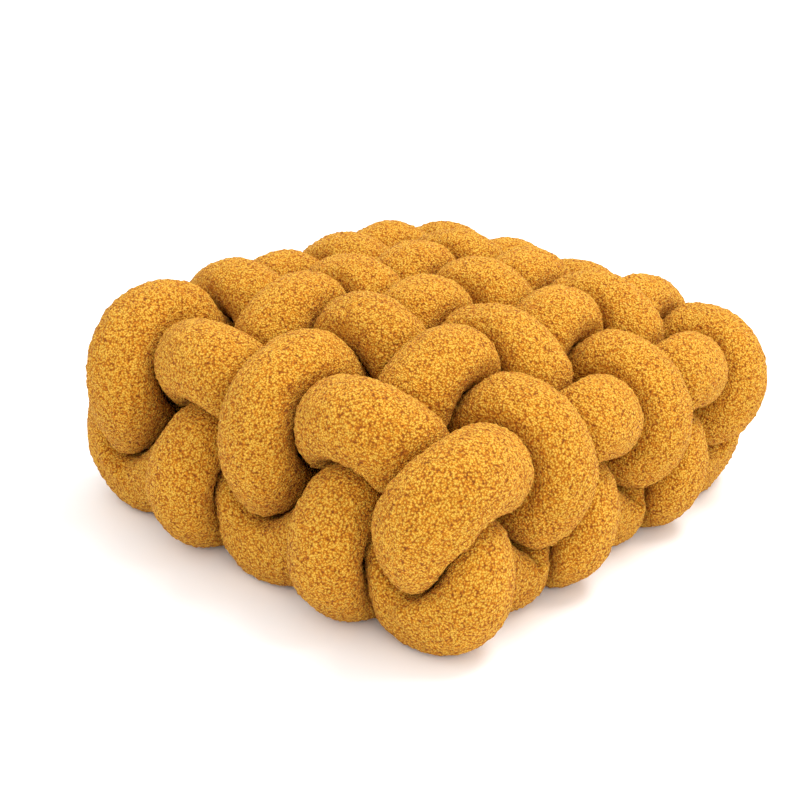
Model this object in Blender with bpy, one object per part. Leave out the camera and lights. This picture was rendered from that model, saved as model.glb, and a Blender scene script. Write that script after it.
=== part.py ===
# Woven floor cushion of stuffed boucle tubes
#
# Eleven fat tubes of curly boucle cloth are woven into one square pad. Five long
# tubes run front to back, along Y, and six cross tubes run side to side, along X.
# Every tube is one closed ring: it goes over the top, turns down over an edge,
# comes back underneath and turns up over the far edge. On its way it passes
# outside one crossing tube and inside the next, so the tubes hold one another.
#
# The stuffing is soft, so two tubes that press together share a flat wall midway
# between their centrelines, and the underside is flat where it rests.
#
# Metres, +Z up. The cushion lies on its back with its underside on z = 0, and the
# origin is at the middle of its base.

from collections import namedtuple

import bmesh
import bpy
import numpy as np

# Tube and contact sizes
TUBE_RADIUS = 0.0370
CONTACT_GAP = 0.0008
CREASE_SHARPNESS = 9.0
SETTLE = 0.0120
SOFTENING_PASSES = 14

# A tube's own strand limits it like a neighbour's past the first length along the
# ring, and limits it by the bend alone between the second length and the first
FAR_STRAND = 3.0 * TUBE_RADIUS
NEAR_STRAND = 0.4 * TUBE_RADIUS

# The pad's middle surface, which the tubes weave about
HALF_SPAN_X = 0.187
HALF_SPAN_Y = 0.209
TOP_RISE = 0.070
UNDER_DROP = 0.0395
TOP_TURN = 0.0625
UNDER_TURN = 0.017
TOP_WEAVE_DEPTH = 0.0235
UNDER_WEAVE_DEPTH = 0.0260

# How far a soft pad strays from a true square, as shares of its rise or its spans
CROWN = 0.136
CORNER_LIFT = 0.265
TOP_TILT_X = -0.149
LEFT_EDGE_SAG = 0.20
BACK_EDGE_SAG = 0.05
SIDE_BOW_X = 0.011
SIDE_BOW_Y = 0.032
TOP_LEAN_X = -0.058
TOP_LEAN_Y = -0.073
UNDER_LEAN_Y = -0.069

# Share of the rise over which a tube slides from its place on top to the one below
SLIDE_SHARE = 0.6

# How finely the rings are made
TURN_STEPS = 24
FLAT_STEPS = 120
ROUTE_POINTS = 320
RING_SPACING = 0.0160
SIDES = 12
SMALL_STEP = 1e-4

# Cloth
BOUCLE_COLOUR = (0.62, 0.31, 0.035, 1.0)
BOUCLE_ROUGHNESS = 0.95

# Middle of the woven pad's box, which is moved to the origin
BOX_MIDDLE_X = -0.00195
BOX_MIDDLE_Y = -0.0028
BASE_HEIGHT = UNDER_DROP + UNDER_WEAVE_DEPTH + TUBE_RADIUS - SETTLE
BASE_SHIFT = (-BOX_MIDDLE_X, -BOX_MIDDLE_Y, BASE_HEIGHT)

OUTSIDE = 1
INSIDE = -1
LONG = "long"
CROSS = "cross"

# Each tube's run, its place across the top and across the underside, and the side
# of the first tube it meets on top
Tube = namedtuple("Tube", "name run top under first")

TUBES = (
    Tube("long_tube_1", LONG, -0.148, -0.172, OUTSIDE),
    Tube("long_tube_2", LONG, -0.056, -0.070, INSIDE),
    Tube("long_tube_3", LONG, 0.018, 0.011, OUTSIDE),
    Tube("long_tube_4", LONG, 0.102, 0.098, INSIDE),
    Tube("long_tube_5", LONG, 0.1755, 0.169, OUTSIDE),
    Tube("cross_tube_1", CROSS, -0.181, -0.190, INSIDE),
    Tube("cross_tube_2", CROSS, -0.092, -0.102, OUTSIDE),
    Tube("cross_tube_3", CROSS, -0.030, -0.058, INSIDE),
    Tube("cross_tube_4", CROSS, 0.051, 0.042, OUTSIDE),
    Tube("cross_tube_5", CROSS, 0.114, 0.084, INSIDE),
    Tube("cross_tube_6", CROSS, 0.188, 0.168, OUTSIDE),
)

Route = namedtuple("Route", "points outward crossings")


# Middle surface of the pad


def share_of_rise(distance, half_span, turn):
    """Share of the full height left at a distance from the middle, down a quarter circle to 0 at the rim."""
    into_turn = np.clip((np.abs(distance) - (half_span - turn)) / turn, 0.0, 1.0)
    return np.sqrt(1.0 - into_turn**2)


def top_height(x, y):
    """The top is highest near the middle. Its back edges sag a little, and its corners stand up."""
    share = share_of_rise(x, HALF_SPAN_X, TOP_TURN) * share_of_rise(y, HALF_SPAN_Y, TOP_TURN)
    across, along = x / HALF_SPAN_X, y / HALF_SPAN_Y
    crown = 1.0 - CROWN * (across**2 + along**2) + TOP_TILT_X * across
    corners = CORNER_LIFT * across**2 * along**2
    left_sag = LEFT_EDGE_SAG * across**2 * (1.0 - along**2) * (x < 0.0)
    back_sag = BACK_EDGE_SAG * along**2 * (y > 0.0)
    return TOP_RISE * share * (crown + corners - left_sag - back_sag)


def under_height(x, y):
    """The underside is nearly flat, with a tighter turn at the rim."""
    share = share_of_rise(x, HALF_SPAN_X, UNDER_TURN) * share_of_rise(y, HALF_SPAN_Y, UNDER_TURN)
    return -UNDER_DROP * share


def surface_points(run, across, along, on_top):
    """Points of the middle surface, given places across and along a tube's run."""
    straight_x, straight_y = (across, along) if run == LONG else (along, across)
    # The sides bow out between the corners, as on any stuffed pad.
    x = straight_x * (1.0 + SIDE_BOW_X * (0.5 - (straight_y / HALF_SPAN_Y) ** 2))
    y = straight_y * (1.0 + SIDE_BOW_Y * (0.5 - (straight_x / HALF_SPAN_X) ** 2))
    z = np.where(on_top, top_height(x, y), under_height(x, y))
    above = np.maximum(z, 0.0)
    below = np.maximum(-z, 0.0)
    leaning_x = x + TOP_LEAN_X * above
    leaning_y = y + TOP_LEAN_Y * above + UNDER_LEAN_Y * below
    return np.stack([leaning_x, leaning_y, z], axis=-1)


# Route of one tube


def walk_across(half_span, turn):
    """Places from rim to rim over one face, closest together where the face turns over."""
    turning = turn * np.sin(np.linspace(0.0, np.pi / 2, TURN_STEPS))
    flat = half_span - turn
    return np.concatenate([
        -flat - turning[:0:-1],
        np.linspace(-flat, flat, FLAT_STEPS),
        flat + turning[1:],
    ])


def unit(vectors):
    return vectors / np.linalg.norm(vectors, axis=-1, keepdims=True)


def along_ring(values, lengths, total, wanted):
    """Values read at the wanted lengths round a closed ring."""
    closed_values = np.concatenate([values, values[:1]])
    closed_lengths = np.append(lengths, total)
    columns = [np.interp(wanted, closed_lengths, column) for column in closed_values.T]
    return np.stack(columns, axis=-1)


def ring_lengths(points):
    """Length from the first point to each point of a closed ring, and the whole way round."""
    steps = np.linalg.norm(np.roll(points, -1, axis=0) - points, axis=1)
    return np.concatenate([[0.0], np.cumsum(steps)[:-1]]), steps.sum()


def tangents(points):
    return unit(np.roll(points, -1, axis=0) - np.roll(points, 1, axis=0))


def softened(points):
    """Evens out bends that are tighter than a stuffed tube can make."""
    for _ in range(SOFTENING_PASSES):
        points = 0.5 * points + 0.25 * (np.roll(points, 1, axis=0) + np.roll(points, -1, axis=0))
    return points


def tube_route(tube):
    """Centreline points round the ring, the way out of the pad at each, and its crossings as shares of it."""
    half_span = HALF_SPAN_Y if tube.run == LONG else HALF_SPAN_X
    top_walk = walk_across(half_span, TOP_TURN)
    under_walk = -walk_across(half_span, UNDER_TURN)[1:-1]
    along = np.concatenate([top_walk, under_walk])
    on_top = np.arange(len(along)) < len(top_walk)

    # The tube slides from its place on top to its place underneath as it goes round the edge.
    place = np.where(on_top, tube.top, tube.under)
    height = surface_points(tube.run, place, along, on_top)[:, 2]
    blend = np.clip(0.5 + 0.5 * height / (SLIDE_SHARE * TOP_RISE), 0.0, 1.0)
    blend = blend * blend * (3.0 - 2.0 * blend)
    across = tube.under + (tube.top - tube.under) * blend
    points = surface_points(tube.run, across, along, on_top)
    sideways = surface_points(tube.run, across + SMALL_STEP, along, on_top) - points

    lengths, total = ring_lengths(points)
    wanted = np.linspace(0.0, total, ROUTE_POINTS, endpoint=False)
    crossings = crossing_lengths(tube, lengths, top_walk, under_walk)
    points = along_ring(points, lengths, total, wanted)
    sideways = along_ring(sideways, lengths, total, wanted)
    outward = np.cross(sideways, tangents(points))
    if tube.run == CROSS:
        outward = -outward
    outward = unit(outward)

    # Outside at one crossing, inside at the next.
    count = len(crossings)
    knots = np.concatenate([[crossings[-1] - total], crossings, [crossings[0] + total]])
    turns = np.interp(wanted, knots, np.arange(-1, count + 1))
    upper = np.clip(0.5 + points[:, 2] / TOP_RISE, 0.0, 1.0)
    depth = UNDER_WEAVE_DEPTH + (TOP_WEAVE_DEPTH - UNDER_WEAVE_DEPTH) * upper
    swing = tube.first * depth * np.cos(np.pi * turns)
    centreline = softened(points + outward * swing[:, None])
    return Route(centreline, outward, crossings / total)


def crossing_lengths(tube, lengths, top_walk, under_walk):
    """Length along the ring at which this tube meets each tube that crosses it."""
    others = [other for other in TUBES if other.run != tube.run]
    top = [np.interp(other.top, top_walk, lengths[: len(top_walk)]) for other in others]
    under_lengths = lengths[len(top_walk):]
    under = [np.interp(-other.under, -under_walk, under_lengths) for other in reversed(others)]
    return np.array(top + under)


# Cloth surface of one tube


def reach_to_walls(centre, directions, neighbours, gap):
    """How far each direction goes before the wall midway to the nearest neighbour's centreline."""
    offset = neighbours - centre
    squared = (offset**2).sum(axis=1) - gap**2
    towards = directions @ offset.T + gap
    # A direction that faces away from a neighbour never meets its wall.
    walls = np.where(towards > 0.0, squared / (2.0 * np.maximum(towards, SMALL_STEP * TUBE_RADIUS)), np.inf)
    return walls.min(axis=1)


def own_neighbours(points, lengths, total, at_length):
    """The tube's own far strand, which it may press against, and the near one, whose bend limits it."""
    away = np.abs((lengths - at_length + total / 2) % total - total / 2)
    far = points[away > FAR_STRAND]
    near = points[(away > NEAR_STRAND) & (away <= FAR_STRAND)]
    return far, near


def ring_stations(crossings, total):
    """Lengths for the rings, one at each crossing and evenly between, with a station midway to each next."""
    stations = []
    ends = np.append(crossings, crossings[0] + 1.0) * total
    for start, end in zip(ends[:-1], ends[1:]):
        rings = round((end - start) / RING_SPACING)
        stations.extend(np.linspace(start, end, 2 * rings, endpoint=False))
    return np.array(stations)


def reach_of_cloth(centre, directions, at_length, strand, others):
    """Distance from the centreline to the cloth in each direction."""
    points, lengths, total = strand
    far, near = own_neighbours(points, lengths, total, at_length)
    wall = reach_to_walls(centre, directions, np.concatenate([others, far]), CONTACT_GAP)
    bend = reach_to_walls(centre, directions, near, 0.0)
    nearest = np.minimum(wall, bend)
    # Blends the free round of the tube into the wall, which rounds the crease between them.
    return (TUBE_RADIUS**-CREASE_SHARPNESS + nearest**-CREASE_SHARPNESS) ** (-1.0 / CREASE_SHARPNESS)


def drawn_back(reach):
    """Every second reach of a fine grid, less what a straight facet would cut into a wall between them."""
    corner = reach[::2, ::2]
    next_ring = np.roll(corner, -1, axis=0)
    next_side = np.roll(corner, -1, axis=1)
    next_both = np.roll(next_ring, -1, axis=1)
    flat = np.cos(np.pi / SIDES)
    along = (corner + next_ring) / 2 - reach[1::2, ::2]
    around = flat * (corner + next_side) / 2 - reach[::2, 1::2]
    across = flat * np.maximum(corner + next_both, next_ring + next_side) / 2 - reach[1::2, 1::2]
    cuts = [along, np.roll(along, 1, axis=0), around, np.roll(around, 1, axis=1)]
    for ring_shift in (0, 1):
        for side_shift in (0, 1):
            cuts.append(np.roll(across, (ring_shift, side_shift), axis=(0, 1)))
    return corner - np.maximum(np.max(cuts, axis=0), 0.0)


def tube_rings(name, routes):
    """Cross-sections of one tube: points on its cloth, ring by ring."""
    points, outward, crossings = routes[name]
    others = np.concatenate([route.points for other, route in routes.items() if other != name])
    lengths, total = ring_lengths(points)
    stations = ring_stations(crossings, total)
    wrapped = stations % total
    centres = along_ring(points, lengths, total, wrapped)
    forward = unit(along_ring(tangents(points), lengths, total, wrapped))
    out = along_ring(outward, lengths, total, wrapped)
    out = unit(out - (out * forward).sum(axis=1, keepdims=True) * forward)
    side = np.cross(forward, out)
    angles = np.pi * np.arange(2 * SIDES) / SIDES
    ways = out[:, None] * np.cos(angles)[:, None] + side[:, None] * np.sin(angles)[:, None]

    strand = (points, lengths, total)
    reach = np.array([
        reach_of_cloth(centre, directions, at_length, strand, others)
        for centre, directions, at_length in zip(centres, ways, wrapped)
    ])
    rings = centres[::2, None] + ways[::2, ::2] * drawn_back(reach)[:, :, None] + np.array(BASE_SHIFT)
    rings[:, :, 2] = np.maximum(rings[:, :, 2], 0.0)
    return rings


# Meshes and materials


def boucle_material(name):
    material = bpy.data.materials.new(name)
    material.use_nodes = True
    shader = material.node_tree.nodes["Principled BSDF"]
    shader.inputs["Base Color"].default_value = BOUCLE_COLOUR
    shader.inputs["Roughness"].default_value = BOUCLE_ROUGHNESS
    shader.inputs["Metallic"].default_value = 0.0
    return material


def place_ring(verts, ring):
    for vert, point in zip(verts, ring):
        vert.co = point


def grown_from(vert, new_verts):
    """The new point that was extruded from a point of the last ring."""
    return next(edge.other_vert(vert) for edge in vert.link_edges if edge.other_vert(vert) in new_verts)


def closed_tube_mesh(name, rings):
    """One circle, extruded ring by ring round the tube, and bridged to its start."""
    mesh_builder = bmesh.new()
    made = bmesh.ops.create_circle(mesh_builder, cap_ends=False, radius=TUBE_RADIUS, segments=SIDES)
    verts = made["verts"]
    place_ring(verts, rings[0])
    first_edges = mesh_builder.edges[:]
    edges = first_edges
    for ring in rings[1:]:
        grown = bmesh.ops.extrude_edge_only(mesh_builder, edges=edges)["geom"]
        edges = [item for item in grown if isinstance(item, bmesh.types.BMEdge)]
        new_verts = {item for item in grown if isinstance(item, bmesh.types.BMVert)}
        verts = [grown_from(vert, new_verts) for vert in verts]
        edges = [edge for edge in edges if new_verts.issuperset(edge.verts)]
        place_ring(verts, ring)
    bmesh.ops.bridge_loops(mesh_builder, edges=edges + first_edges)
    bmesh.ops.recalc_face_normals(mesh_builder, faces=mesh_builder.faces)
    mesh = bpy.data.meshes.new(name)
    mesh_builder.to_mesh(mesh)
    mesh_builder.free()
    mesh.shade_smooth()
    return mesh


def build_tube(tube, routes):
    mesh = closed_tube_mesh(tube.name, tube_rings(tube.name, routes))
    mesh.materials.append(boucle_material(tube.name + "_boucle"))
    piece = bpy.data.objects.new(tube.name, mesh)
    bpy.context.scene.collection.objects.link(piece)
    return piece


def clear_scene():
    for item in list(bpy.data.objects):
        bpy.data.objects.remove(item, do_unlink=True)


def main():
    clear_scene()
    routes = {tube.name: tube_route(tube) for tube in TUBES}
    pieces = [build_tube(tube, routes) for tube in TUBES]
    corners = np.array([vert.co for piece in pieces for vert in piece.data.vertices])
    low, high = corners.min(axis=0), corners.max(axis=0)
    print("box from", low.round(4), "to", high.round(4), "middle", ((low + high) / 2).round(4))


main()
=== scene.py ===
# %% [markdown]
# # A woven floor cushion in mustard bouclé
#
# The real cushion is made from eleven fat tubes of curly teddy cloth, each
# stuffed tight and sewn end to end into a ring. Five rings run front to back and
# six run side to side, and they are woven through one another over the top,
# round the edges and underneath. There is no other part: no lining, no zip and
# no piping shows.
#
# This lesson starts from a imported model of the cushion, whose plain solids hold
# the true sizes. Each plain tube is then replaced by a finely made one, with the
# curly surface of the cloth on it.

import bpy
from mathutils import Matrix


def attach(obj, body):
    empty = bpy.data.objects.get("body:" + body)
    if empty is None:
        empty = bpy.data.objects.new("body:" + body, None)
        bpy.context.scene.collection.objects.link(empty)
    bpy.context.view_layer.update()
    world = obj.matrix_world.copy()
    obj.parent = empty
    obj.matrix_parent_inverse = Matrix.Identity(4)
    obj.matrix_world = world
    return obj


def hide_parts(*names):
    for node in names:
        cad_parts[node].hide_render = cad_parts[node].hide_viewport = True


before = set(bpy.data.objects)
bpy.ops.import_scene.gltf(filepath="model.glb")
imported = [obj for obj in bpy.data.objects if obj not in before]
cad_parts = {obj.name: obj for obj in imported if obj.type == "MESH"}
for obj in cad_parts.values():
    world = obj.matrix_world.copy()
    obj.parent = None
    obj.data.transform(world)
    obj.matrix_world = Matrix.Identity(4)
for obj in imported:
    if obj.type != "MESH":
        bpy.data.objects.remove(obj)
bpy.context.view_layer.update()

# %% [markdown]
# Blender's own modules come next, with numpy for the sums. A bmesh is a mesh that
# is being worked on, as in edit mode.

# %% Tools used below
from collections import namedtuple

import bmesh
import bpy
import numpy as np
from mathutils import Matrix, Vector

# %% [markdown]
# ## The tubes and where they lie
#
# On the real cushion the tubes aren't evenly spaced, because they are soft and
# are pulled about by hand. So each tube has two places in the table: where it
# crosses the top, and where it crosses the underside. The last column says
# whether it starts outside or inside the first tube that it meets on top. After
# that it alternates, as any plain weave does.
#
# A table like this is easier to correct than eleven separate models, because
# one wrong place is one number.

# %% Table of tubes
OUTSIDE = 1
INSIDE = -1
LONG = "long"
CROSS = "cross"

Tube = namedtuple("Tube", "name run top under first")

TUBES = (
    Tube("long_tube_1", LONG, -0.148, -0.172, OUTSIDE),
    Tube("long_tube_2", LONG, -0.056, -0.070, INSIDE),
    Tube("long_tube_3", LONG, 0.018, 0.011, OUTSIDE),
    Tube("long_tube_4", LONG, 0.102, 0.098, INSIDE),
    Tube("long_tube_5", LONG, 0.1755, 0.169, OUTSIDE),
    Tube("cross_tube_1", CROSS, -0.181, -0.190, INSIDE),
    Tube("cross_tube_2", CROSS, -0.092, -0.102, OUTSIDE),
    Tube("cross_tube_3", CROSS, -0.030, -0.058, INSIDE),
    Tube("cross_tube_4", CROSS, 0.051, 0.042, OUTSIDE),
    Tube("cross_tube_5", CROSS, 0.114, 0.084, INSIDE),
    Tube("cross_tube_6", CROSS, 0.188, 0.168, OUTSIDE),
)
print(len(TUBES), "tubes in the table")

# %% [markdown]
# ## The pad that the tubes weave about
#
# Seen as a whole, the cushion is a square pad: nearly flat underneath, crowned
# on top, with turned-over edges and corners that stand up a little. Its back
# edges sag and the whole top leans, because it is soft.
#
# The weave could be drawn tube by tube, but it is simpler to describe the
# pad's middle surface once and let every tube swing in and out of it.

# %% Middle surface of the pad
HALF_SPAN_X = 0.187
HALF_SPAN_Y = 0.209
TOP_RISE = 0.070
UNDER_DROP = 0.0395
TOP_TURN = 0.0625
UNDER_TURN = 0.017
CROWN = 0.136
CORNER_LIFT = 0.265
TOP_TILT_X = -0.149
LEFT_EDGE_SAG = 0.20
BACK_EDGE_SAG = 0.05


def share_of_rise(distance, half_span, turn):
    """Share of the full height left at a distance from the middle, down a quarter circle to 0 at the rim."""
    into_turn = np.clip((np.abs(distance) - (half_span - turn)) / turn, 0.0, 1.0)
    return np.sqrt(1.0 - into_turn**2)


def top_height(x, y):
    """Highest near the middle, with sagging back edges and corners that stand up."""
    share = share_of_rise(x, HALF_SPAN_X, TOP_TURN) * share_of_rise(y, HALF_SPAN_Y, TOP_TURN)
    across = x / HALF_SPAN_X
    along = y / HALF_SPAN_Y
    crown = 1.0 - CROWN * (across**2 + along**2) + TOP_TILT_X * across
    corners = CORNER_LIFT * across**2 * along**2
    left_sag = LEFT_EDGE_SAG * across**2 * (1.0 - along**2) * (x < 0.0)
    back_sag = BACK_EDGE_SAG * along**2 * (y > 0.0)
    return TOP_RISE * share * (crown + corners - left_sag - back_sag)


def under_height(x, y):
    """Nearly flat, with a tighter turn at the rim."""
    share = share_of_rise(x, HALF_SPAN_X, UNDER_TURN) * share_of_rise(y, HALF_SPAN_Y, UNDER_TURN)
    return -UNDER_DROP * share


middle = np.zeros(1)
print("Top of the middle surface", round(float(top_height(middle, middle)[0]) * 1000), "mm above its rim")

# %% [markdown]
# The sides of a stuffed pad bow out between its corners, and this one leans to
# the left and to the front. Both are small moves of the same surface points.

# %% Bow and lean
SIDE_BOW_X = 0.011
SIDE_BOW_Y = 0.032
TOP_LEAN_X = -0.058
TOP_LEAN_Y = -0.073
UNDER_LEAN_Y = -0.069


def surface_points(run, across, along, on_top):
    """Points of the middle surface, given places across and along a tube's run."""
    straight_x, straight_y = (across, along) if run == LONG else (along, across)
    x = straight_x * (1.0 + SIDE_BOW_X * (0.5 - (straight_y / HALF_SPAN_Y) ** 2))
    y = straight_y * (1.0 + SIDE_BOW_Y * (0.5 - (straight_x / HALF_SPAN_X) ** 2))
    z = np.where(on_top, top_height(x, y), under_height(x, y))
    above = np.maximum(z, 0.0)
    below = np.maximum(-z, 0.0)
    leaning_x = x + TOP_LEAN_X * above
    leaning_y = y + TOP_LEAN_Y * above + UNDER_LEAN_Y * below
    return np.stack([leaning_x, leaning_y, z], axis=-1)


rim_corner = surface_points(LONG, np.array([HALF_SPAN_X]), np.array([HALF_SPAN_Y]), True)
print("Right back corner of the rim", rim_corner.round(3))

# %% [markdown]
# ## The way of one tube
#
# A tube's centreline walks over the top, turns down over the rim, comes back
# underneath and closes. The walk takes short steps where the pad turns over, so
# that the turn comes out round.

# %% Small helpers for closed rings
TURN_STEPS = 24
FLAT_STEPS = 120


def walk_across(half_span, turn):
    """Places from rim to rim over one face, closest together where the face turns over."""
    turning = turn * np.sin(np.linspace(0.0, np.pi / 2, TURN_STEPS))
    flat = half_span - turn
    straight = np.linspace(-flat, flat, FLAT_STEPS)
    return np.concatenate([-flat - turning[:0:-1], straight, flat + turning[1:]])


def unit(vectors):
    return vectors / np.linalg.norm(vectors, axis=-1, keepdims=True)


def along_ring(values, lengths, total, wanted):
    """Values read at the wanted lengths round a closed ring."""
    closed_values = np.concatenate([values, values[:1]])
    closed_lengths = np.append(lengths, total)
    columns = [np.interp(wanted, closed_lengths, column) for column in closed_values.T]
    return np.stack(columns, axis=-1)


def ring_lengths(points):
    """Length from the first point to each point of a closed ring, and the whole way round."""
    steps = np.linalg.norm(np.roll(points, -1, axis=0) - points, axis=1)
    return np.concatenate([[0.0], np.cumsum(steps)[:-1]]), steps.sum()


def tangents(points):
    return unit(np.roll(points, -1, axis=0) - np.roll(points, 1, axis=0))


print("Steps in one walk over the top:", len(walk_across(HALF_SPAN_Y, TOP_TURN)))

# %% [markdown]
# A plain weave goes outside one tube and inside the next. That is a wave whose
# crests are at the crossings, so the centreline is the middle surface plus a
# cosine that takes half a turn from one crossing to the next.
#
# A stuffed tube can't bend sharply, so the line is evened out afterwards, the
# way one would smooth a curve in the editor.

# %% Centreline of a tube
TOP_WEAVE_DEPTH = 0.0235
UNDER_WEAVE_DEPTH = 0.0260
SLIDE_SHARE = 0.6
SOFTENING_PASSES = 14
ROUTE_POINTS = 320
SMALL_STEP = 1e-4

Route = namedtuple("Route", "points outward crossings")


def softened(points):
    """Evens out bends that are tighter than a stuffed tube can make."""
    for _ in range(SOFTENING_PASSES):
        points = 0.5 * points + 0.25 * (np.roll(points, 1, axis=0) + np.roll(points, -1, axis=0))
    return points


def crossing_lengths(tube, lengths, top_walk, under_walk):
    """Length along the ring at which this tube meets each tube that crosses it."""
    others = [other for other in TUBES if other.run != tube.run]
    top = [np.interp(other.top, top_walk, lengths[: len(top_walk)]) for other in others]
    under_lengths = lengths[len(top_walk):]
    under = [np.interp(-other.under, -under_walk, under_lengths) for other in reversed(others)]
    return np.array(top + under)


def tube_route(tube):
    """Centreline points round the ring, the way out of the pad at each, and its crossings as shares of it."""
    half_span = HALF_SPAN_Y if tube.run == LONG else HALF_SPAN_X
    top_walk = walk_across(half_span, TOP_TURN)
    under_walk = -walk_across(half_span, UNDER_TURN)[1:-1]
    along = np.concatenate([top_walk, under_walk])
    on_top = np.arange(len(along)) < len(top_walk)

    # The tube slides from its place on top to its place underneath as it goes round the edge.
    place = np.where(on_top, tube.top, tube.under)
    height = surface_points(tube.run, place, along, on_top)[:, 2]
    blend = np.clip(0.5 + 0.5 * height / (SLIDE_SHARE * TOP_RISE), 0.0, 1.0)
    blend = blend * blend * (3.0 - 2.0 * blend)
    across = tube.under + (tube.top - tube.under) * blend
    points = surface_points(tube.run, across, along, on_top)
    sideways = surface_points(tube.run, across + SMALL_STEP, along, on_top) - points

    lengths, total = ring_lengths(points)
    wanted = np.linspace(0.0, total, ROUTE_POINTS, endpoint=False)
    crossings = crossing_lengths(tube, lengths, top_walk, under_walk)
    points = along_ring(points, lengths, total, wanted)
    sideways = along_ring(sideways, lengths, total, wanted)
    outward = np.cross(sideways, tangents(points))
    if tube.run == CROSS:
        outward = -outward
    outward = unit(outward)

    # Outside at one crossing, inside at the next.
    count = len(crossings)
    knots = np.concatenate([[crossings[-1] - total], crossings, [crossings[0] + total]])
    turns = np.interp(wanted, knots, np.arange(-1, count + 1))
    upper = np.clip(0.5 + points[:, 2] / TOP_RISE, 0.0, 1.0)
    depth = UNDER_WEAVE_DEPTH + (TOP_WEAVE_DEPTH - UNDER_WEAVE_DEPTH) * upper
    swing = tube.first * depth * np.cos(np.pi * turns)
    centreline = softened(points + outward * swing[:, None])
    return Route(centreline, outward, crossings / total)


routes = {tube.name: tube_route(tube) for tube in TUBES}
for name, route in routes.items():
    length_mm = round(ring_lengths(route.points)[1] * 1000)
    print(name, "is a ring", length_mm, "mm long with", len(route.crossings), "crossings")

# %% [markdown]
# ## How stuffed tubes press together
#
# Where two tubes touch, neither keeps its round: the stuffing gives way evenly
# and the cloth makes one flat wall midway between them. A cloth simulation could
# find that wall, but eleven tubes that all touch one another at once are slow
# and jittery to simulate. The wall has an exact answer instead. It is the plane
# of points as near to one centreline as to the other, so the reach of the cloth
# in a direction is either the tube's own radius or the distance to that plane.
#
# Stuffed cloth doesn't run into a corner, though. It leaves the flat wall in a
# soft curve, which makes the deep, tight crease that one sees between two
# pillows. So the two reaches are joined by a smooth minimum: far from the crease
# it is exactly the smaller of the two, and within a couple of centimetres of it
# the cloth draws back a little.
#
# A bend has an effect of its own. The stuffing is pushed to its inner side, so
# there the tube stands fuller and closes the gap to whatever lies under it.

# %% Reach of the cloth
TUBE_RADIUS = 0.0370
PILE_HEIGHT = 0.0028
PRESSED_GAP = 0.0003
CREASE_WIDTH = 0.016
FAR_STRAND = 3.0 * TUBE_RADIUS
NEAR_STRAND = 0.4 * TUBE_RADIUS
BACKING_RADIUS = TUBE_RADIUS - PILE_HEIGHT / 2
BEND_BULGE = 0.40

# A direction that meets no wall counts as meeting one this far away.
FARTHEST_WALL = 10.0 * TUBE_RADIUS


def reach_to_walls(centre, directions, neighbours, gap):
    """How far each direction goes before the wall midway to the nearest neighbour's centreline."""
    offset = neighbours - centre
    squared = (offset**2).sum(axis=1) - gap**2
    towards = directions @ offset.T + gap
    facing = 2.0 * np.maximum(towards, SMALL_STEP * TUBE_RADIUS)
    # A direction that faces away from a neighbour never meets its wall.
    walls = np.where(towards > 0.0, squared / facing, np.inf)
    return walls.min(axis=1)


def bends(points):
    """Curvature of the centreline at each point, towards the inner side of the bend."""
    step = ring_lengths(points)[1] / len(points)
    return (np.roll(points, 1, axis=0) + np.roll(points, -1, axis=0) - 2.0 * points) / step**2


def reach_of_cloth(centre, directions, at_length, bend_here, strand, others):
    """Distance from the centreline to the cloth's backing in each direction."""
    points, lengths, total = strand
    away = np.abs((lengths - at_length + total / 2) % total - total / 2)
    far = points[away > FAR_STRAND]
    near = points[(away > NEAR_STRAND) & (away <= FAR_STRAND)]
    close_by = np.concatenate([others, far])
    wall = reach_to_walls(centre, directions, close_by, PRESSED_GAP)
    bend = reach_to_walls(centre, directions, near, 0.0)
    nearest = np.minimum(np.minimum(wall, bend), FARTHEST_WALL)
    inner_side = np.clip(TUBE_RADIUS * directions @ bend_here, 0.0, 1.0)
    free = BACKING_RADIUS * (1.0 + BEND_BULGE * inner_side)
    share = np.clip(0.5 + 0.5 * (nearest - free) / CREASE_WIDTH, 0.0, 1.0)
    return nearest + (free - nearest) * share - CREASE_WIDTH * share * (1.0 - share)


print("Backing of the cloth", round(BACKING_RADIUS * 1000, 1), "mm from the centreline")

# %% [markdown]
# ## One tube, ring by ring
#
# A cross-section every 4 mm is fine enough for the folds in the creases. The
# points in a cross-section stand closer together on the side that faces out of
# the pad, because that is the side one sees. Then all points are moved from the
# pad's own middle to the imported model's place, and those below the surface that
# the cushion rests on are lifted to it, which makes the flats.
#
# In the tightest bends one cross-section can reach much further than the next,
# which would leave a ledge in the cloth. Points that are a long step from the
# next one are drawn to the middle of their neighbours, until the cloth is even.

# %% Cross-sections of a tube
RING_STEP = 0.0042
SIDES = 40
CLOSER_OUTSIDE = 0.35
SETTLE = 0.0120
BOX_MIDDLE_X = -0.00195
BOX_MIDDLE_Y = -0.0028
BASE_HEIGHT = UNDER_DROP + UNDER_WEAVE_DEPTH + TUBE_RADIUS - SETTLE
BASE_SHIFT = np.array([-BOX_MIDDLE_X, -BOX_MIDDLE_Y, BASE_HEIGHT])
LOWEST = PILE_HEIGHT / 2
LONG_STEP = 0.0095
EVENING_PASSES = 60


def evened(rings):
    """Spreads long steps from one cross-section to the next over their neighbours."""
    for _ in range(EVENING_PASSES):
        ahead = np.roll(rings, -1, axis=0)
        behind = np.roll(rings, 1, axis=0)
        steps = np.linalg.norm(ahead - rings, axis=2)
        longest = np.maximum(steps, np.roll(steps, 1, axis=0))
        share = np.clip(longest / LONG_STEP - 1.0, 0.0, 1.0)[:, :, None]
        rings = rings + 0.5 * share * ((ahead + behind) / 2.0 - rings)
    return rings


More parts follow.
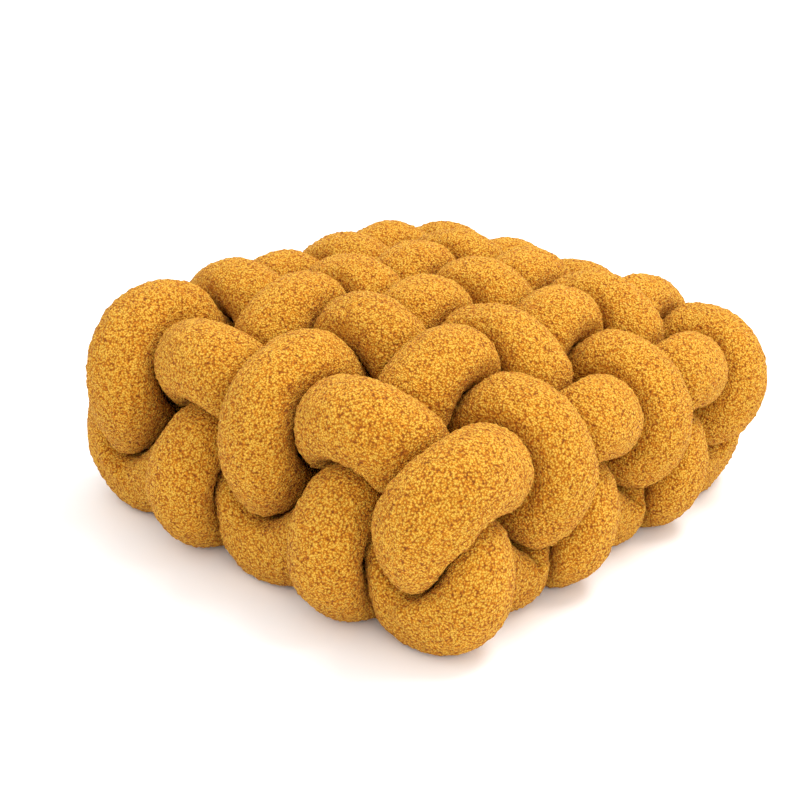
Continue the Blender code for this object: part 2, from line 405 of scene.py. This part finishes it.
def tube_rings(name):
    """Cross-sections of one tube: points on its cloth, ring by ring."""
    points, outward, crossings = routes[name]
    others = np.concatenate([route.points for other, route in routes.items() if other != name])
    lengths, total = ring_lengths(points)
    stations = np.linspace(0.0, total, round(total / RING_STEP), endpoint=False)
    centres = along_ring(points, lengths, total, stations)
    forward = unit(along_ring(tangents(points), lengths, total, stations))
    out = along_ring(outward, lengths, total, stations)
    out = unit(out - (out * forward).sum(axis=1, keepdims=True) * forward)
    side = np.cross(forward, out)
    turn = 2.0 * np.pi * np.arange(SIDES) / SIDES
    angles = turn - CLOSER_OUTSIDE * np.sin(turn)
    ways = out[:, None] * np.cos(angles)[:, None] + side[:, None] * np.sin(angles)[:, None]
    strand = (points, lengths, total)
    bends_there = along_ring(bends(points), lengths, total, stations)
    reach = np.array([
        reach_of_cloth(centre, directions, at_length, bend_here, strand, others)
        for centre, directions, at_length, bend_here in zip(centres, ways, stations, bends_there)
    ])
    rings = evened(centres[:, None] + ways * reach[:, :, None] + BASE_SHIFT)
    rings[:, :, 2] = np.maximum(rings[:, :, 2], LOWEST)
    return rings


sample = tube_rings("long_tube_3")
print("long_tube_3 has", len(sample), "cross-sections of", SIDES, "points")

# %% [markdown]
# The mesh itself starts as one circle. Each step extrudes the last circle's
# edges and moves the new points onto the next cross-section, and at the end the
# last circle is bridged to the first, which closes the ring. It is the same as
# pressing E again and again in edit mode, with the places worked out exactly.

# %% Extrude a closed tube
def place_ring(verts, ring):
    for vert, point in zip(verts, ring):
        vert.co = point


def grown_from(vert, new_verts):
    """The new point that was extruded from a point of the last ring."""
    return next(edge.other_vert(vert) for edge in vert.link_edges if edge.other_vert(vert) in new_verts)


def closed_tube_mesh(name, rings):
    """One circle, extruded ring by ring round the tube, and bridged to its start."""
    maker = bmesh.new()
    verts = bmesh.ops.create_circle(maker, cap_ends=False, radius=TUBE_RADIUS, segments=SIDES)["verts"]
    place_ring(verts, rings[0])
    first_edges = maker.edges[:]
    edges = first_edges
    for ring in rings[1:]:
        grown = bmesh.ops.extrude_edge_only(maker, edges=edges)["geom"]
        new_verts = {item for item in grown if isinstance(item, bmesh.types.BMVert)}
        new_edges = [item for item in grown if isinstance(item, bmesh.types.BMEdge)]
        verts = [grown_from(vert, new_verts) for vert in verts]
        edges = [edge for edge in new_edges if new_verts.issuperset(edge.verts)]
        place_ring(verts, ring)
    bmesh.ops.bridge_loops(maker, edges=edges + first_edges)
    bmesh.ops.recalc_face_normals(maker, faces=maker.faces)
    mesh = bpy.data.meshes.new(name)
    maker.to_mesh(mesh)
    maker.free()
    mesh.shade_smooth()
    return mesh


def add_tube(name):
    mesh = closed_tube_mesh(name + "_cloth", tube_rings(name))
    piece = bpy.data.objects.new(name + "_cloth", mesh)
    bpy.context.scene.collection.objects.link(piece)
    return piece


tubes = {tube.name: add_tube(tube.name) for tube in TUBES}
print("Made", len(tubes), "tubes of", len(sample) * SIDES, "faces or so each")

# %% [markdown]
# ## One small function for nodes
#
# Both the shape of the pile and its colour are made with nodes. This function
# adds a node to any tree, sets its properties, and fills its inputs, either with
# plain values or with the outputs of other nodes.

# %% Add a node
def add_node(tree, kind, inputs=None, **settings):
    made = tree.nodes.new(kind)
    for setting, value in settings.items():
        setattr(made, setting, value)
    for key, value in (inputs or {}).items():
        if isinstance(value, bpy.types.NodeSocket):
            tree.links.new(value, made.inputs[key])
        else:
            made.inputs[key].default_value = value
    return made


print("Nodes are added with", add_node.__name__)

# %% [markdown]
# ## The pile of teddy bouclé
#
# Bouclé is knitted from a looped yarn whose curls stand up from the backing. On
# this cushion a curl is under 2 mm across, and curls are matted into nubs of 3
# to 5 mm, with dark gaps between them. A Voronoi pattern has one cell for each
# such tuft. Its places are pushed about by a noise first, so that the cells come
# out kinked and uneven, as curls are, and not like pebbles. The same function
# serves at each size, and it gives back two outputs of nodes: a random colour for
# each tuft, and how high the tuft stands there.

# %% Tuft pattern
KINK = 0.5

Tufts = namedtuple("Tufts", "colour height")


def tuft_pattern(tree, place, size):
    """Kinked cells of about the given size. Their height is near 1 in the middle and lower at the gaps."""
    noise = add_node(tree, "ShaderNodeTexNoise", {"Vector": place, "Scale": 1 / size, "Detail": 2.0})
    centred = add_node(
        tree, "ShaderNodeVectorMath", {0: noise.outputs["Color"], 1: (0.5, 0.5, 0.5)}, operation="SUBTRACT")
    kinked = add_node(
        tree, "ShaderNodeVectorMath", {0: centred.outputs[0], 1: (KINK * size,) * 3, 2: place},
        operation="MULTIPLY_ADD")
    cells = add_node(tree, "ShaderNodeTexVoronoi", {"Vector": kinked.outputs[0], "Scale": 1 / size})
    rise = add_node(tree, "ShaderNodeMath", {0: 1.0, 1: cells.outputs["Distance"]}, operation="SUBTRACT")
    return Tufts(cells.outputs["Color"], rise.outputs[0])


print("Tufts are kinked by up to", KINK / 2, "of their size")

# %% [markdown]
# The mesh gets one level of subdivision, and then each point is moved along its
# normal by the height of the pile there. Its points stand 2 to 3 mm apart, so it
# can't carry the curls. It carries the largest nubs, 5 mm across, which break up
# the outline, and the material adds the smaller nubs and the curls. A slower
# noise is added for the stuffing, which is never quite even.
#
# Geometry Nodes does this with Set Position, and a last step keeps every point
# above the surface that the cushion rests on.

# %% Raise the pile
CLUMP_SIZE = 0.0050
LUMP_SIZE = 0.035
LUMP_DEPTH = 0.0012

# Most of a noise's values lie between these two.
NOISE_LOW = 0.3
NOISE_HIGH = 0.7

# Only the height is held back. The cushion is well inside a metre each way.
LOWEST_CORNER = (-1.0, -1.0, 0.0)

pile = bpy.data.node_groups.new("boucle pile", "GeometryNodeTree")
pile.interface.new_socket("Geometry", in_out="INPUT", socket_type="NodeSocketGeometry")
pile.interface.new_socket("Geometry", in_out="OUTPUT", socket_type="NodeSocketGeometry")
start = add_node(pile, "NodeGroupInput")
place = add_node(pile, "GeometryNodeInputPosition")
normal = add_node(pile, "GeometryNodeInputNormal")
lumps = add_node(
    pile, "ShaderNodeTexNoise", {"Vector": place.outputs[0], "Scale": 1 / LUMP_SIZE, "Detail": 0.0})
lump_depth = add_node(
    pile, "ShaderNodeMapRange",
    {"Value": lumps.outputs[0], "From Min": NOISE_LOW, "From Max": NOISE_HIGH,
     "To Min": -LUMP_DEPTH, "To Max": 0.0})
clumps = tuft_pattern(pile, place.outputs[0], CLUMP_SIZE)
clump_rise = add_node(
    pile, "ShaderNodeMath", {0: clumps.height, 1: PILE_HEIGHT, 2: -PILE_HEIGHT / 2},
    operation="MULTIPLY_ADD")
rise = add_node(
    pile, "ShaderNodeMath", {0: clump_rise.outputs[0], 1: lump_depth.outputs[0]}, operation="ADD")
move = add_node(
    pile, "ShaderNodeVectorMath", {0: normal.outputs[0], "Scale": rise.outputs[0]}, operation="SCALE")
raised = add_node(
    pile, "GeometryNodeSetPosition", {"Geometry": start.outputs[0], "Offset": move.outputs[0]})
above_floor = add_node(
    pile, "ShaderNodeVectorMath", {0: place.outputs[0], 1: LOWEST_CORNER}, operation="MAXIMUM")
rested = add_node(
    pile, "GeometryNodeSetPosition", {"Geometry": raised.outputs[0], "Position": above_floor.outputs[0]})
add_node(pile, "NodeGroupOutput", {0: rested.outputs[0]})

for tube in tubes.values():
    smooth = tube.modifiers.new("smooth", "SUBSURF")
    smooth.levels = 1
    smooth.render_levels = 1
    tube.modifiers.new("pile", "NODES").node_group = pile
print("Pile raised on", len(tubes), "tubes")

# %% [markdown]
# ## Mustard bouclé
#
# Teddy yarn is mostly dyed polyester, spun to look like wool. It is fully matt,
# and hardly any light reaches the gaps between its curls. To the eye that gives
# bright tips, brown gaps and a soft pale edge where one looks along the surface.
# So the shader has a high roughness, a low specular level and a little sheen, and its colour runs from brown
# in the gaps, a painted shade, to a light mustard on the tips, a painted highlight.
#
# Its colours were picked as one sees them on a screen, in sRGB. A shader works
# with amounts of light, so each colour is turned to linear first.

# %% Colours from sRGB
def linear(code):
    """A shader colour from the hex code of an sRGB colour."""
    parts = [int(code[at:at + 2], 16) / 255 for at in (1, 3, 5)]
    light = [part / 12.92 if part <= 0.04045 else ((part + 0.055) / 1.055) ** 2.4 for part in parts]
    return (*light, 1.0)


# The gap brown is painted shade, the mustard yarn darkened where the gaps between curls lie in shade. The
# side ochre is a lighter painted shade on the lower sides of the curls.
GAP_PAINTED_SHADE = linear("#7B4009")
SIDE_PAINTED_SHADE = linear("#A7610F")
YARN_MUSTARD = linear("#BF7E1A")
# The tip colour is a painted highlight: the yarn made lighter where the raised tips catch the light.
TIP_PAINTED_HIGHLIGHT = linear("#DDAC40")
SHEEN_YELLOW = linear("#FFD98A")

# Height in the pile, and the colour that it has there: painted shade in the gaps and on the low sides, the
# yarn's own mustard, and a painted highlight on the tips
PILE_COLOURS_AND_PAINTED_LIGHT = (
    (0.16, GAP_PAINTED_SHADE),
    (0.34, SIDE_PAINTED_SHADE),
    (0.48, YARN_MUSTARD),
    (0.68, TIP_PAINTED_HIGHLIGHT),
)
print("Yarn colour", [round(part, 3) for part in YARN_MUSTARD[:3]])

# %% [markdown]
# A curl of 1.7 mm is only about two dots wide in the picture, and its loops of yarn are finer still. So the
# curls are the finest pattern that is drawn, as a height. The same height drives the colour, with its painted
# shade in the gaps and its painted highlight on the tips, and the bump, which keeps the bright tips on the
# raised places.

# %% Bouclé material
NUB_SIZE = 0.0032
CURL_SIZE = 0.0017
CURL_SHARE = 0.7
CURL_RELIEF = 0.0022
TONE_SHARE = 0.12
SHADE_SIZE = 0.055
SHADE_SHARE = 0.03

boucle = bpy.data.materials.new("mustard teddy boucle")
boucle.use_nodes = True
tree = boucle.node_tree
shader = tree.nodes["Principled BSDF"]
where = add_node(tree, "ShaderNodeTexCoord").outputs["Object"]
nubs = tuft_pattern(tree, where, NUB_SIZE)
curls = tuft_pattern(tree, where, CURL_SIZE)
nub_part = add_node(tree, "ShaderNodeMath", {0: nubs.height, 1: 1.0 - CURL_SHARE}, operation="MULTIPLY")
height = add_node(
    tree, "ShaderNodeMath", {0: curls.height, 1: CURL_SHARE, 2: nub_part.outputs[0]},
    operation="MULTIPLY_ADD")
# The ramp turns the pile's height into colour: painted shade in the gaps, the yarn's own mustard, and a
# painted highlight on the tips.
colour_with_painted_light = add_node(tree, "ShaderNodeValToRGB", {0: height.outputs[0]})
ramp = colour_with_painted_light.color_ramp
ramp.elements[0].position, ramp.elements[0].color = PILE_COLOURS_AND_PAINTED_LIGHT[0]
ramp.elements[1].position, ramp.elements[1].color = PILE_COLOURS_AND_PAINTED_LIGHT[-1]
for position, colour in PILE_COLOURS_AND_PAINTED_LIGHT[1:-1]:
    ramp.elements.new(position).color = colour

# Each curl takes the light a little differently, and the dye varies slowly from place to place.
curl_tone = add_node(
    tree, "ShaderNodeMapRange",
    {"Value": curls.colour, "To Min": 1.0 - TONE_SHARE, "To Max": 1.0 + TONE_SHARE})
shades = add_node(tree, "ShaderNodeTexNoise", {"Vector": where, "Scale": 1 / SHADE_SIZE, "Detail": 2.0})
shade = add_node(
    tree, "ShaderNodeMapRange",
    {"Value": shades.outputs[0], "From Min": NOISE_LOW, "From Max": NOISE_HIGH,
     "To Min": 1.0 - SHADE_SHARE, "To Max": 1.0 + SHADE_SHARE})
tone = add_node(tree, "ShaderNodeMath", {0: curl_tone.outputs[0], 1: shade.outputs[0]}, operation="MULTIPLY")
# This colour carries the ramp's painted shade and painted highlight, times the random tone of each curl and
# the slow change of the dye.
dyed_with_painted_light = add_node(tree, "ShaderNodeHueSaturation", {"Value": tone.outputs[0], "Color": colour_with_painted_light.outputs[0]})
relief = add_node(
    tree, "ShaderNodeBump", {"Height": height.outputs[0], "Strength": 1.0, "Distance": CURL_RELIEF})
tree.links.new(dyed_with_painted_light.outputs[0], shader.inputs["Base Color"])
tree.links.new(relief.outputs[0], shader.inputs["Normal"])
shader.inputs["Roughness"].default_value = 0.95
shader.inputs["Specular IOR Level"].default_value = 0.2
shader.inputs["Sheen Weight"].default_value = 0.08
shader.inputs["Sheen Roughness"].default_value = 0.5
shader.inputs["Sheen Tint"].default_value = SHEEN_YELLOW
for tube in tubes.values():
    tube.data.materials.append(boucle)
print("Material", boucle.name, "on", len(tubes), "tubes")

# %% [markdown]
# ## Put the tubes in place of the plain ones
#
# Each finished tube rides on the model's only body and stands for its plain solid, which is hidden.

# %% Replace the plain solids
for name, tube in tubes.items():
    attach(tube, "root")
    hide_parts(name)
print("Replaced", len(tubes), "plain solids")

# %% [markdown]
# ## Floor, light and camera
#
# The cushion is shown as in a shop's picture: on a pale floor that runs out to
# white, under broad soft lights that leave only a soft shadow.
#
# The floor has a matt white paint. To the eye it is even and shows no reflection.

# %% Pale floor
FLOOR_HALF_WIDTH = 6.0

maker = bmesh.new()
bmesh.ops.create_grid(maker, x_segments=1, y_segments=1, size=FLOOR_HALF_WIDTH)
floor_mesh = bpy.data.meshes.new("floor")
maker.to_mesh(floor_mesh)
maker.free()
floor = bpy.data.objects.new("floor", floor_mesh)
bpy.context.scene.collection.objects.link(floor)
paint = bpy.data.materials.new("pale floor paint")
paint.use_nodes = True
paint_shader = paint.node_tree.nodes["Principled BSDF"]
paint_shader.inputs["Base Color"].default_value = linear("#F7F7F7")
paint_shader.inputs["Roughness"].default_value = 0.9
floor_mesh.materials.append(paint)
print("Floor", floor.dimensions.x, "m across")

# %% [markdown]
# Most of the light comes evenly from all round, from the world. A softbox above
# and behind brightens the top, and a weaker one in front, to the right, models
# the sides. The view transform is Standard, so that the white floor comes out
# white.

# %% Soft lights
AIM = Vector((0.0, 0.0, 0.09))
WORLD_STRENGTH = 1.36

Softbox = namedtuple("Softbox", "name place width watts")

SOFTBOXES = (
    Softbox("back softbox", (0.5, 0.6, 1.9), 0.9, 27.5),
    Softbox("right softbox", (1.9, -1.0, 0.9), 1.2, 10.0),
)

for softbox in SOFTBOXES:
    lamp = bpy.data.lights.new(softbox.name, "AREA")
    lamp.shape = "SQUARE"
    lamp.size = softbox.width
    lamp.energy = softbox.watts
    lamp_object = bpy.data.objects.new(softbox.name, lamp)
    lamp_object.location = softbox.place
    lamp_object.rotation_euler = (AIM - Vector(softbox.place)).to_track_quat("-Z", "Y").to_euler()
    bpy.context.scene.collection.objects.link(lamp_object)

world = bpy.data.worlds.new("studio air")
world.use_nodes = True
air = world.node_tree.nodes["Background"]
air.inputs["Color"].default_value = (1.0, 1.0, 1.0, 1.0)
air.inputs["Strength"].default_value = WORLD_STRENGTH
bpy.context.scene.world = world
bpy.context.scene.view_settings.view_transform = "Standard"
print("Lights:", ", ".join(softbox.name for softbox in SOFTBOXES))

# %% [markdown]
# The camera looks down at a corner of the cushion from a little over a metre
# away. Its lens is a little longer than normal, it is turned by a degree and a
# half, and its frame is shifted so that the cushion stands a little right of the
# middle, as in the photograph.

# %% Camera
AZIMUTH = np.radians(40.104)
ELEVATION = np.radians(22.159)
ROLL = np.radians(1.515)
CAMERA_DISTANCE = 1.1464
LENS_PIXELS = 1261.26
PICTURE_PIXELS = 800
SENSOR_MM = 36.0

# Where the point that the camera aims at lies in the picture, from its left and its top
AIM_PIXELS_ACROSS = 431.24
AIM_PIXELS_DOWN = 398.27

target = Vector(BASE_SHIFT)
back = Vector((np.sin(AZIMUTH) * np.cos(ELEVATION), -np.cos(AZIMUTH) * np.cos(ELEVATION), np.sin(ELEVATION)))
level_right = (-back).cross(Vector((0.0, 0.0, 1.0))).normalized()
level_up = level_right.cross(-back)
right = level_right * np.cos(ROLL) + level_up * np.sin(ROLL)
up = level_up * np.cos(ROLL) - level_right * np.sin(ROLL)

camera_data = bpy.data.cameras.new("camera")
camera_data.sensor_width = SENSOR_MM
camera_data.lens = SENSOR_MM * LENS_PIXELS / PICTURE_PIXELS
camera_data.shift_x = 0.5 - AIM_PIXELS_ACROSS / PICTURE_PIXELS
camera_data.shift_y = AIM_PIXELS_DOWN / PICTURE_PIXELS - 0.5
camera = bpy.data.objects.new("camera", camera_data)
turned = Matrix((right, up, back)).transposed().to_4x4()
camera.matrix_world = Matrix.Translation(target + back * CAMERA_DISTANCE) @ turned
bpy.context.scene.collection.objects.link(camera)
bpy.context.scene.camera = camera
print("Camera at", [round(value, 3) for value in camera.location], "lens", round(camera_data.lens, 1), "mm")
